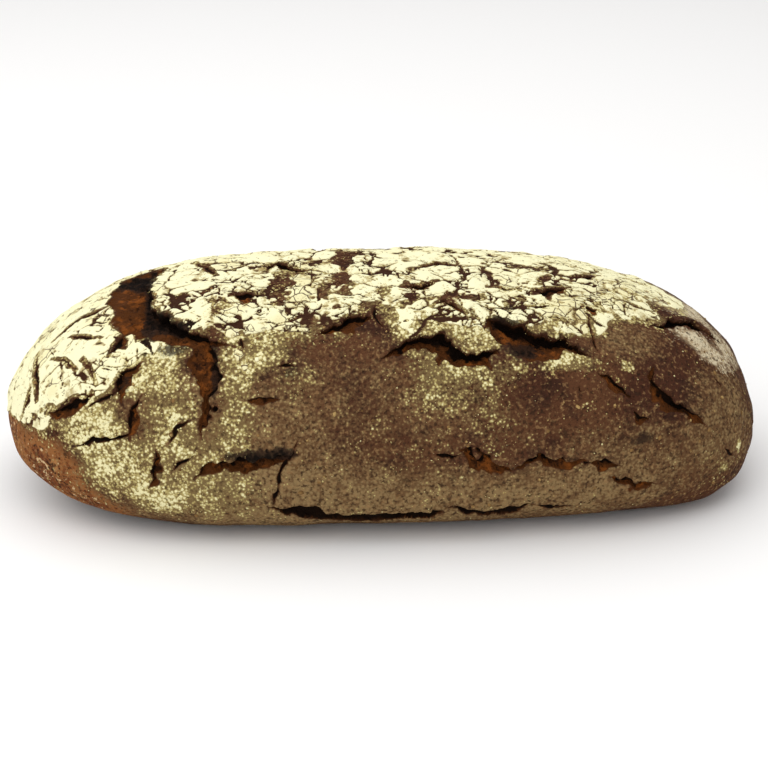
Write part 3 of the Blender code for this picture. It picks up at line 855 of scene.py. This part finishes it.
def make_piece(name, mesh, material):
    """A piece on the root body from a mesh, with nothing of it below the table."""
    places = np.zeros(3 * len(mesh.vertices))
    mesh.vertices.foreach_get("co", places)
    places[2::3] = np.maximum(places[2::3], 0)
    mesh.vertices.foreach_set("co", places)
    mesh.name = name
    mesh.materials.clear()
    mesh.materials.append(material)
    mesh.polygons.foreach_set("use_smooth", np.ones(len(mesh.polygons), bool))
    piece = placed(name, mesh)
    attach(piece, "root")
    return piece


def flour_shell(crust, keep):
    """Closed plates of flour: their top, an unseen underside, and walls between, buried in the crust."""
    quads = grid_quads()
    thick = crust["flour"]
    floured = (thick[quads].max(axis=1) > THINNEST_FLOUR) & (crust["bare"][quads].max(axis=1) < 0.5)
    kept = (floured & keep[quads].all(axis=1)).reshape(STATIONS - 1, RING)
    kept[[0, -1]] = False
    for _ in range(3):       # quads that meet at one corner only are joined, or the mesh would pinch there
        right, down = np.roll(kept, -1, axis=1), np.roll(kept, -1, axis=0)
        across = np.roll(right, -1, axis=0)
        kept |= right & down & ~across & ~kept
        lone = kept & across & ~right & ~down
        kept |= np.roll(lone, 1, axis=1)
    quads = quads[kept.ravel()]
    used, corners = np.unique(quads, return_inverse=True)
    corners = corners.reshape(quads.shape)
    top = crust["surface"][used] + crust["normal"][used] * thick[used][:, None]
    edges = np.concatenate([corners[:, [k, (k + 1) % 4]] for k in range(4)])
    keys = edges[:, 0] * len(used) + edges[:, 1]
    back_keys = edges[:, 1] * len(used) + edges[:, 0]
    rim = edges[~np.isin(keys, back_keys)]
    walls = np.stack([rim[:, 1], rim[:, 0], rim[:, 0] + len(used), rim[:, 1] + len(used)], axis=1)
    faces = np.concatenate([corners, corners[:, ::-1] + len(used), walls])
    return np.concatenate([top, crust["underside"][used]]), faces


# Nodes, for materials and for scattering

def from_hex(code):
    """A linear colour from an sRGB hex value."""
    parts = [int(code[i:i + 2], 16) / 255 for i in (1, 3, 5)]
    return (*[p / 12.92 if p <= 0.04045 else ((p + 0.055) / 1.055) ** 2.4 for p in parts], 1.0)


def add_node(tree, kind, settings=None, inputs=None):
    """One node with its settings and, for each input, a value or the socket that feeds it."""
    node = tree.nodes.new(kind)
    for key, value in (settings or {}).items():
        setattr(node, key, value)
    for key, value in (inputs or {}).items():
        if isinstance(value, bpy.types.NodeSocket):
            tree.links.new(value, node.inputs[key])
        else:
            node.inputs[key].default_value = value
    return node


# Loose grains and flakes

SCATTER_INPUTS = (
    ("Crust", 'NodeSocketGeometry'),
    ("Number per square metre", 'NodeSocketFloat'),
    ("Smallest radius", 'NodeSocketFloat'),
    ("Largest radius", 'NodeSocketFloat'),
    ("Flatness", 'NodeSocketFloat'),
    ("Seed", 'NodeSocketInt'),
)


def scatter_tree(name, attribute, material):
    """Lumps scattered over a crust as thickly as its attribute says, pressed flat by a given share."""
    tree = bpy.data.node_groups.new(name, 'GeometryNodeTree')
    for label, kind in SCATTER_INPUTS:
        tree.interface.new_socket(label, in_out='INPUT', socket_type=kind)
    tree.interface.new_socket("Lumps", in_out='OUTPUT', socket_type='NodeSocketGeometry')
    given = add_node(tree, "NodeGroupInput").outputs
    share = add_node(tree, "GeometryNodeInputNamedAttribute", {"data_type": 'FLOAT'}, {"Name": attribute})
    density = add_node(tree, "ShaderNodeMath", {"operation": 'MULTIPLY'},
                       {0: share.outputs["Attribute"], 1: given["Number per square metre"]})
    points = add_node(tree, "GeometryNodeDistributePointsOnFaces", {"distribute_method": 'RANDOM'},
                      {"Mesh": given["Crust"], "Density": density.outputs[0], "Seed": given["Seed"]})
    lump = add_node(tree, "GeometryNodeMeshIcoSphere", None, {"Radius": 1.0, "Subdivisions": 1})
    shape = add_node(tree, "FunctionNodeRandomValue", {"data_type": 'FLOAT_VECTOR'},
                     {0: LUMP_SHAPES[0], 1: LUMP_SHAPES[1], "Seed": given["Seed"]})
    size = add_node(tree, "FunctionNodeRandomValue", {"data_type": 'FLOAT'},
                    {2: 0.0, 3: 1.0, "Seed": LUMP_SIZE_SEED})
    skewed = add_node(tree, "ShaderNodeMath", {"operation": 'POWER'}, {0: size.outputs[1], 1: LUMP_SKEW})
    radius = add_node(tree, "ShaderNodeMapRange", None, {
        "Value": skewed.outputs[0], "To Min": given["Smallest radius"], "To Max": given["Largest radius"]})
    flat = add_node(tree, "ShaderNodeMath", {"operation": 'SUBTRACT'}, {0: 1.0, 1: given["Flatness"]})
    pressed = add_node(tree, "ShaderNodeCombineXYZ", None, {0: 1.0, 1: 1.0, 2: flat.outputs[0]})
    lumpy = add_node(tree, "ShaderNodeVectorMath", {"operation": 'MULTIPLY'},
                     {0: shape.outputs[0], 1: pressed.outputs[0]})
    scale = add_node(tree, "ShaderNodeVectorMath", {"operation": 'SCALE'},
                     {0: lumpy.outputs[0], "Scale": radius.outputs[0]})
    spin = add_node(tree, "FunctionNodeRandomValue", {"data_type": 'FLOAT'},
                    {2: 0.0, 3: FULL_TURN, "Seed": LUMP_TURN_SEED})
    about = add_node(tree, "ShaderNodeCombineXYZ", None, {2: spin.outputs[1]})
    facing = add_node(tree, "FunctionNodeRotateRotation", {"rotation_space": 'LOCAL'},
                      {0: points.outputs["Rotation"], 1: about.outputs[0]})
    lumps = add_node(tree, "GeometryNodeInstanceOnPoints", None, {
        "Points": points.outputs["Points"], "Instance": lump.outputs["Mesh"],
        "Rotation": facing.outputs[0], "Scale": scale.outputs[0]})
    real = add_node(tree, "GeometryNodeRealizeInstances", None, {0: lumps.outputs[0]})
    finished = add_node(tree, "GeometryNodeSetMaterial", None,
                        {"Geometry": real.outputs[0], "Material": material})
    add_node(tree, "NodeGroupOutput", None, {0: finished.outputs[0]})
    return tree


def scattered(ground, tree, values):
    """A plain mesh of what the tree scatters over the ground's mesh, with its inputs set by name."""
    sockets = {item.name: item.identifier for item in tree.interface.items_tree}
    return modified(ground, 'NODES', {"node_group": tree},
                    {sockets[name]: value for name, value in values.items()})


# Materials

def new_material(name):
    material = bpy.data.materials.new(name)
    material.use_nodes = True
    return material, material.node_tree


def per_millimetre(size):
    """The scale of a texture on Object coordinates, in metres, whose features are that many millimetres."""
    return 1000.0 / size


def grains_and_shares(tree, grains, shares):
    """The place, a noise for each row of name, size in millimetres, detail and roughness, and each
    attribute, all by name. One cell of a noise holds a light and a dark grain."""
    fields = {None: 0.0, "place": add_node(tree, "ShaderNodeTexCoord").outputs["Object"]}
    for name, size, detail, roughness in grains:
        fields[name] = add_node(tree, "ShaderNodeTexNoise", None, {
            "Vector": fields["place"], "Scale": per_millimetre(2 * size), "Detail": detail,
            "Roughness": roughness}).outputs["Fac"]
    for name in shares:
        fields[name] = add_node(tree, "ShaderNodeAttribute", {"attribute_name": name}).outputs["Fac"]
    return fields


def layered(tree, ground, fields, layers):
    """The ground colour with each layer over it, where grain and share together pass from low to high."""
    for colour, first, first_weight, second, second_weight, low, high, strength in layers:
        pushed = add_node(tree, "ShaderNodeMath", {"operation": 'MULTIPLY'},
                          {0: fields[second], 1: second_weight})
        value = add_node(tree, "ShaderNodeMath", {"operation": 'MULTIPLY_ADD'},
                         {0: fields[first], 1: first_weight, 2: pushed.outputs[0]})
        cover = add_node(tree, "ShaderNodeMapRange", {"interpolation_type": 'SMOOTHSTEP'},
                         {"Value": value.outputs[0], "From Min": low, "From Max": high, "To Max": strength})
        ground = add_node(tree, "ShaderNodeMix", {"data_type": 'RGBA'},
                          {0: cover.outputs[0], 6: ground, 7: from_hex(colour)}).outputs[2]
    return ground


def finish(tree, colour, fields, roughness, shine, relief=()):
    """Gives the material's shader its colour, roughness and shine, and one bump over another for
    each row of relief: field, strength, height in metres."""
    shader = tree.nodes["Principled BSDF"]
    tree.links.new(colour, shader.inputs["Base Color"])
    shader.inputs["Roughness"].default_value = roughness
    shader.inputs["Specular IOR Level"].default_value = shine
    normal = {}
    for field, strength, height in relief:
        bump = add_node(tree, "ShaderNodeBump", None,
                        {"Strength": strength, "Distance": height, "Height": fields[field], **normal})
        normal = {"Normal": bump.outputs["Normal"]}
        tree.links.new(bump.outputs["Normal"], shader.inputs["Normal"])


# Grains of the crust's finish: name, size in millimetres, detail, roughness.
# The flour's own grain, about 0.2 mm, is drawn coarser so that it shows: as dots of 0.9 mm, in
# granules of 1.5 mm and clumps of 5 mm.
CRUST_GRAINS = (
    ("broad", 26.0, 3.0, 0.6),
    ("middling", 6.5, 3.0, 0.7),
    ("fine", 1.7, 2.0, 0.7),
    ("dots", 0.9, 1.0, 0.5),
    ("clumps", 5.0, 4.0, 0.75),
)
GRANULE_SIZE = 1.5           # millimetres from one clumped granule of flour to the next
FLOUR_GRAIN = (("granules", -0.3), ("dots", 0.30), ("clumps", 0.75))    # what it is made of, weighted
FLOUR_GRAIN_START = 0.17     # brings their sum to between 0 and 1
CRUST_ROUGHNESS = 0.85
CRUST_SHINE = 0.06           # dull, as flour and pores break up the skin's gloss
CRUST_RELIEF = (("flour grain", 0.8, 0.0012), ("fine", 1.0, 0.0014), ("clumps", 0.8, 0.0016))
CRUST_SHARES = ("torn", "shaded", "scorched", "bare tip", "film", "pale dust", "floured", "crack")

# Layers of the crust's finish, from the skin up:
# colour, grain, its weight, share, its weight, where the layer starts, where it is full, strength
CRUST_SKIN = "#46291c"
CRUST_LAYERS = (
    ("#624029", "broad", 1, None, 0, 0.42, 0.62, 0.6),          # paler browned skin
    ("#2f1d17", "middling", -1, None, 0, -0.46, -0.34, 0.6),    # darker, purplish blotches
    ("#936036", "middling", 0.6, "bare tip", 1, 0.42, 1.05, 0.95),  # unfloured tip, redder
    ("#ab7a49", "middling", 2, "bare tip", 1, 2.05, 2.30, 0.7),     # its paler patches
    ("#6e3c20", "clumps", -2, "bare tip", 1, -0.26, 0.04, 0.9),     # its darker ones
    ("#55301c", "fine", -1.6, "bare tip", 1, 0.16, 0.36, 0.7),      # dark streaks
    ("#33190d", "dots", -1.6, "bare tip", 1, 0.30, 0.42, 0.8),      # pits
    ("#6b5135", "flour grain", 0.8, "film", 0.6, 0.50, 0.85, 0.85),  # olive film of burnt-on flour
    ("#8f7650", "flour grain", 1, "film", 0.3, 0.68, 0.90, 0.85),    # and where it lies thicker
    ("#b8a27f", "clumps", 1.2, "pale dust", 1, 0.95, 1.50, 0.9),    # pinkish-cream dust
    ("#dccfb0", "flour grain", 1, "pale dust", 0.35, 0.72, 0.90, 0.8),  # where it lies thicker
    ("#8f6d48", "dots", 1, None, 0, 0.58, 0.68, 0.5),           # tan flecks of bran in the skin
    ("#2b1b12", "dots", -1, None, 0, -0.41, -0.33, 0.4),        # small dark pits
    ("#22150e", "fine", -1, None, 0, -0.40, -0.31, 0.5),       # and larger ones
    ("#e0c394", "fine", 1, "bare tip", 0.3, 0.88, 0.95, 0.7),   # pale flecks on the tip
    ("#7d6a44", "flour grain", 0.7, "floured", 0.7, 0.62, 0.84, 0.8),   # thin toasted flour
    ("#b8a76a", "flour grain", 1, "floured", 0.36, 0.77, 0.84, 0.85),   # flour in grains
    ("#f0e8b6", "flour grain", 1, "floured", 0.36, 0.84, 0.94, 0.95),   # thick clumps of it
    ("#36261a", "dots", -1, None, 0, -0.38, -0.30, 0.45),       # dark gaps between the grains
    ("#3b2317", "fine", 0.3, "crack", 1, 0.35, 0.7, 0.95),      # bare crust in a crack
    ("#4e2b11", "middling", 0.4, "torn", 1, 0.55, 0.8, 1.0),    # torn crumb
    ("#84491b", "middling", 1, "torn", 0.4, 0.84, 1.0, 0.8),    # its crags
    ("#21110a", "clumps", -1, "torn", 1, 0.46, 0.58, 0.75),     # its burnt hollows
    ("#1d0e06", "fine", -1, "torn", 0.6, 0.08, 0.20, 0.75),     # its pores
    ("#2d1f17", "clumps", 1.6, "scorched", 1, 1.30, 1.60, 0.9), # dark grey scorch
    ("#0f0a07", "fine", -0.9, "scorched", 1, 0.30, 0.60, 0.95), # black scorch
    ("#100804", "fine", -0.4, "shaded", 1, 0.10, 0.60, 0.97),   # painted shade under a lip, near black
)


def crust_material():
    """Baked rye crust: dull dark brown skin with a purple cast, finely pitted; where it tore, rough
    orange-brown crumb, with shade painted near black under its lip; near black where it scorched; a
    grey-cream film and specks where flour burnt on."""
    material, tree = new_material("baked rye crust")
    fields = grains_and_shares(tree, CRUST_GRAINS, CRUST_SHARES)
    fields["granules"] = add_node(tree, "ShaderNodeTexVoronoi", {"feature": 'F1'}, {
        "Vector": fields["place"], "Scale": per_millimetre(GRANULE_SIZE)}).outputs["Distance"]
    fields["flour grain"] = FLOUR_GRAIN_START
    for name, weight in FLOUR_GRAIN:
        fields["flour grain"] = add_node(tree, "ShaderNodeMath", {"operation": 'MULTIPLY_ADD'}, {
            0: fields[name], 1: weight, 2: fields["flour grain"]}).outputs[0]
    colour = layered(tree, from_hex(CRUST_SKIN), fields, CRUST_LAYERS)
    finish(tree, colour, fields, CRUST_ROUGHNESS, CRUST_SHINE, CRUST_RELIEF)
    return material


# The caked flour's finish, in the same words. Its grain too is drawn coarser than 0.2 mm.
FLOUR_GRAINS = (
    ("broad", 13.0, 3.0, 0.6),
    ("mottle", 4.2, 5.0, 0.75),
    ("fine", 1.3, 2.0, 0.6),
)
HAIRLINE_SIZE = 6.5          # millimetres between the hairline cracks
HAIRLINE_STRAY = 0.0035      # how far they stray from straight, in metres
HAIRLINE_BEND = 8.0          # over about this many millimetres
HAIRLINE_FADE = (0.58, 0.42, 0.16)   # they go where the broad grain falls from first to second
FLOUR_ROUGHNESS = 0.95
FLOUR_SHINE = 0.05
FLOUR_RELIEF = (("fine", 0.5, 0.0007), ("mottle", 0.7, 0.0014))
FLOUR_GROUND = "#f5f0c6"
FLOUR_LAYERS = (
    ("#e8dda6", "broad", 1, None, 0, 0.48, 0.66, 0.6),          # warmer flour
    ("#c0ad72", "mottle", -1, "broken", 0.08, -0.38, -0.30, 0.75),  # tan where it lies thin
    ("#8a7448", "mottle", -1, "broken", 0.07, -0.33, -0.27, 0.8),   # toasted
    ("#a8925e", "mottle", -0.5, "flour", -1, -0.48, -0.30, 0.8),    # thin towards its edges
    ("#6b5233", "fine", -1, "broken", 0.02, -0.37, -0.30, 0.6),     # dark specks
    ("#4a3020", "hairline", -1, None, 0, -0.055, -0.02, 0.9),   # hairline cracks down to the crust
)


def flour_material():
    """Caked rye flour: dry matt cream, powdery, toasted where it lies thin, with hairline cracks."""
    material, tree = new_material("caked rye flour")
    fields = grains_and_shares(tree, FLOUR_GRAINS, ("flour", "broken"))
    stray = add_node(tree, "ShaderNodeTexNoise", None, {
        "Vector": fields["place"], "Scale": per_millimetre(HAIRLINE_BEND), "Detail": 3.0})
    bent = add_node(tree, "ShaderNodeVectorMath", {"operation": 'MULTIPLY_ADD'},
                    {0: stray.outputs["Color"], 1: (HAIRLINE_STRAY,) * 3, 2: fields["place"]})
    lines = add_node(tree, "ShaderNodeTexVoronoi", {"feature": 'DISTANCE_TO_EDGE'},
                     {"Vector": bent.outputs[0], "Scale": per_millimetre(HAIRLINE_SIZE)})
    start, end, most = HAIRLINE_FADE
    fading = add_node(tree, "ShaderNodeMapRange", None,
                      {"Value": fields["broad"], "From Min": start, "From Max": end, "To Max": most})
    fields["hairline"] = add_node(tree, "ShaderNodeMath", {"operation": 'ADD'},
                                  {0: lines.outputs["Distance"], 1: fading.outputs[0]}).outputs[0]
    colour = layered(tree, from_hex(FLOUR_GROUND), fields, FLOUR_LAYERS)
    finish(tree, colour, fields, FLOUR_ROUGHNESS, FLOUR_SHINE, FLOUR_RELIEF)
    return material


LOOSE_GRAINS = (("broad", 9.0, 2.0, 0.6), ("fine", 1.6, 1.0, 0.5))
LOOSE_ROUGHNESS = 0.95
LOOSE_SHINE = 0.1
# Loose grains and flakes: piece, its attribute, slot, material, ground colour, layers, how scattered
LOOSE = (
    ("loose_flour_grains", "loose flour", "flour", "loose rye flour", "#bfae74",
     (("#a48f58", "broad", 1, None, 0, 0.50, 0.60, 0.8),
      ("#ded49f", "fine", 1, None, 0, 0.54, 0.64, 0.8)),
     {"Number per square metre": 420000.0, "Smallest radius": 0.0002, "Largest radius": 0.0006,
      "Flatness": 0.25, "Seed": 5}),
    ("bran_flakes", "loose bran", "crust", "toasted rye bran", "#8a6a40",
     (("#5f4327", "broad", 1, None, 0, 0.45, 0.55, 0.8),
      ("#b89a63", "fine", 1, None, 0, 0.55, 0.62, 0.8)),
     {"Number per square metre": 9000.0, "Smallest radius": 0.0004, "Largest radius": 0.0014,
      "Flatness": 0.8, "Seed": 9}),
)


def loose_material(name, ground, layers):
    """Single grains of dry flour or flakes of bran: matt, and a little different from one to the next."""
    material, tree = new_material(name)
    fields = grains_and_shares(tree, LOOSE_GRAINS, ())
    finish(tree, layered(tree, from_hex(ground), fields, layers), fields, LOOSE_ROUGHNESS, LOOSE_SHINE)
    return material


# The pieces

crust = crust_fields()
tree = place_tree(crust["surface"])
baked_crust = thinned(mesh_of("crust", crust["surface"], [grid_quads(), tip_fans()]), CRUST_TRIANGLES)
give_attributes(baked_crust, crust, tree, CRUST_SHARES + ("loose flour", "loose bran"))
crust_piece = make_piece("crust", baked_crust, crust_material())
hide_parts("loaf")

flour = flour_material()
at_left = crust["plate middle"][:, 0] < LEFT_PIECE_END
at_back = ~at_left & (crust["plate middle"][:, 1] > BACK_PIECE_START)
for name, side in (("flour_on_the_left_end", at_left), ("flour_on_the_top", ~at_left & ~at_back),
                   ("flour_on_the_back", at_back)):
    places, faces = flour_shell(crust, side)
    shell = thinned(mesh_of(name, places, [faces]), FLOUR_TRIANGLES)
    give_attributes(shell, crust, tree, ("flour", "broken"))
    make_piece(name, shell, flour)
    shell.set_sharp_from_angle(angle=math.radians(SHARP_ANGLE))

for name, attribute, slot, material_name, ground, layers, values in LOOSE:
    material = loose_material(material_name, ground, layers)
    lumps = scattered(baked_crust, scatter_tree(name, attribute, material), values)
    make_piece(name, lumps, material)


# Floor, light and camera

FLOOR_REACH = 3.0            # metres from the middle to the floor's edges
FLOOR_COLOUR = "#fcfbfa"
FLOOR_ROUGHNESS = 0.9
WORLD_STRENGTH = 0.58
# Lights: name, place, where it is aimed, size, power
LIGHTS = (
    ("overhead softbox", (-0.2, 0.05, 1.10), (0, 0, 0.04), 2.2, 12.5),
    ("front fill", (-0.7, -1.15, 0.75), (0, 0, 0.05), 1.1, 4.0),
)


def aimed(name, data, place, aim):
    """A new object at that place, facing the aim as a light or camera does."""
    holder = placed(name, data)
    holder.location = place
    holder.rotation_euler = (Vector(aim) - Vector(place)).to_track_quat('-Z', 'Y').to_euler()
    return holder


def make_floor():
    mesh = bpy.data.meshes.new("floor")
    corners = [(x * FLOOR_REACH, y * FLOOR_REACH, 0) for x, y in ((-1, -1), (1, -1), (1, 1), (-1, 1))]
    mesh.from_pydata(corners, [], [(0, 1, 2, 3)])
    material, tree = new_material("pale floor")
    shader = tree.nodes["Principled BSDF"]
    shader.inputs["Base Color"].default_value = from_hex(FLOOR_COLOUR)
    shader.inputs["Roughness"].default_value = FLOOR_ROUGHNESS
    mesh.materials.append(material)
    placed("floor", mesh)


def make_light(name, place, aim, size, power):
    light = bpy.data.lights.new(name, 'AREA')
    light.shape = 'DISK'
    light.size = size
    light.energy = power
    aimed(name, light, place, aim)


def make_camera():
    turn, rise = math.radians(VIEW_TURN), math.radians(VIEW_RISE)
    back = Vector((math.sin(turn) * math.cos(rise), -math.cos(turn) * math.cos(rise), math.sin(rise)))
    camera = bpy.data.cameras.new("camera")
    camera.sensor_width = SENSOR
    camera.lens = SENSOR / FRAME_WIDTH * VIEW_DISTANCE
    bpy.context.scene.camera = aimed("camera", camera, VIEW_CENTRE + back * VIEW_DISTANCE, AIM)


make_floor()
for row in LIGHTS:
    make_light(*row)
make_camera()
world = bpy.data.worlds.new("pale room")
world.use_nodes = True
world.node_tree.nodes["Background"].inputs["Color"].default_value = (1.0, 1.0, 1.0, 1.0)
world.node_tree.nodes["Background"].inputs["Strength"].default_value = WORLD_STRENGTH
bpy.context.scene.world = world
bpy.context.scene.view_settings.view_transform = 'Standard'
